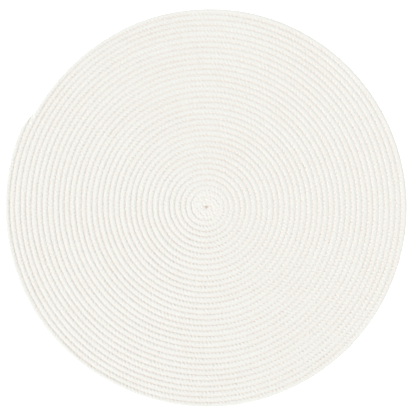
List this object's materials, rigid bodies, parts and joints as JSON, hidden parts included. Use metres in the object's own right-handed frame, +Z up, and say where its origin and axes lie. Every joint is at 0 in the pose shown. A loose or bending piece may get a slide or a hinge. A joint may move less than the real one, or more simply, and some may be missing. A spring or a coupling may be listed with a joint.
{
  "type": "round placemat",
  "caption": "Flat round table mat: one braided off-white cotton cord wound in a spiral and sewn turn to turn, with a tapered outer end.",
  "frame": {"origin": "middle of the mat's outline, on the surface that it lies on", "axes": "+Z up out of the face, +Y towards the top of the picture, +X to its right"},
  "size_m": [0.3826, 0.3792, 0.0046],
  "materials": {
    "cotton": "matt braided cotton, undyed off-white"
  },
  "bodies": {
    "root": {"coiled_mat": "cotton"}
  },
  "joints": []
}
